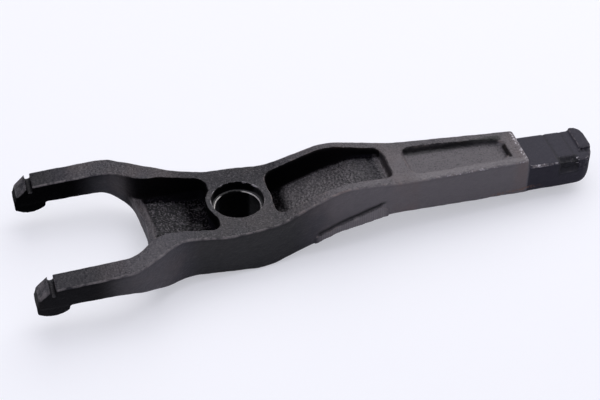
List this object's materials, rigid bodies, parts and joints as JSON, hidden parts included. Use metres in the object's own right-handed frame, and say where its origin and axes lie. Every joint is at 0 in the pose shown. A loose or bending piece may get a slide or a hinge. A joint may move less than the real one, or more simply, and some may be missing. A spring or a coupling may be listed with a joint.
{
  "type": "clutch fork",
  "caption": "Cast clutch fork: a long pocketed lever with a bored pivot boss, two slotted prongs with convex contact shoes, and a stepped push-rod end.",
  "frame": {"origin": "centre of the pivot bore, level with the top face of the boss round it", "axes": "+X runs along the arm to the push-rod end and -X to the prong tips; +Z is the side with the pockets, away from the contact shoes; Y runs across the prongs"},
  "size_m": [0.2952, 0.0874, 0.0372],
  "materials": {
    "casting": "black coated rough casting, half gloss, bare metal in the machined bore"
  },
  "bodies": {
    "root": {"clutch_fork": "casting"}
  },
  "joints": []
}
